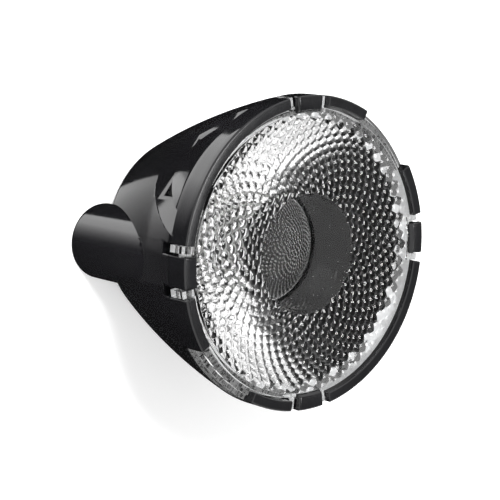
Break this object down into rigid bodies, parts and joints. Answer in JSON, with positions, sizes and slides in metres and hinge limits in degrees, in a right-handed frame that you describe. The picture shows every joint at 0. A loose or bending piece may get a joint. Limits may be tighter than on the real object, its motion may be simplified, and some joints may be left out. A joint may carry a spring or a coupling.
{
  "type": "led spot optic",
  "caption": "Round spot optic: a clear lens with a pillowed face and a central well, snapped into a black cone-shaped holder with screw legs over an LED board.",
  "frame": {"origin": "centre of the seat plane, under the optical axis", "axes": "+Z is the optical axis, and light leaves along it; the two screw legs lie along X; the clips face +X, +Y, -X and -Y"},
  "size_m": [0.0376, 0.0376, 0.025],
  "materials": {
    "holder_plastic": "glossy moulded black",
    "lens_clear": "clear moulded acrylic, polished",
    "insert_brass": "turned",
    "board_white": "white solder mask on aluminium",
    "led_ceramic": "satin",
    "led_phosphor": "matte phosphor layer",
    "led_silicone": "clear silicone",
    "solder": "tinned",
    "screw_steel": "zinc plated",
    "thermal_pad": "soft matte"
  },
  "bodies": {
    "holder": {"lens_holder": "holder_plastic", "tir_lens": "lens_clear", "thread_insert_left": "insert_brass", "thread_insert_right": "insert_brass", "led_board": "board_white", "led_body": "led_ceramic", "led_chip_1": "led_phosphor", "led_chip_2": "led_phosphor", "led_chip_3": "led_phosphor", "led_chip_4": "led_phosphor", "led_dome": "led_silicone", "solder_pad_plus": "solder", "solder_pad_minus": "solder", "board_screw_front": "screw_steel", "board_screw_back": "screw_steel", "thermal_pad": "thermal_pad"},
    "clip_right": {"lens_clip_right": "holder_plastic"},
    "clip_back": {"lens_clip_back": "holder_plastic"},
    "clip_left": {"lens_clip_left": "holder_plastic"},
    "clip_front": {"lens_clip_front": "holder_plastic"}
  },
  "joints": [
    {"name": "clip_right_flex", "type": "hinge", "parent": "holder", "child": "clip_right", "pos_m": [0.01781, 0, 0.0203], "axis": [0, 1, 0], "range_deg": [0, 7], "stiffness_Nm_per_rad": 0.2},
    {"name": "clip_back_flex", "type": "hinge", "parent": "holder", "child": "clip_back", "pos_m": [0, 0.01781, 0.0203], "axis": [-1, 0, 0], "range_deg": [0, 7], "stiffness_Nm_per_rad": 0.2},
    {"name": "clip_left_flex", "type": "hinge", "parent": "holder", "child": "clip_left", "pos_m": [-0.01781, 0, 0.0203], "axis": [0, -1, 0], "range_deg": [0, 7], "stiffness_Nm_per_rad": 0.2},
    {"name": "clip_front_flex", "type": "hinge", "parent": "holder", "child": "clip_front", "pos_m": [0, -0.01781, 0.0203], "axis": [1, 0, 0], "range_deg": [0, 7], "stiffness_Nm_per_rad": 0.2}
  ]
}
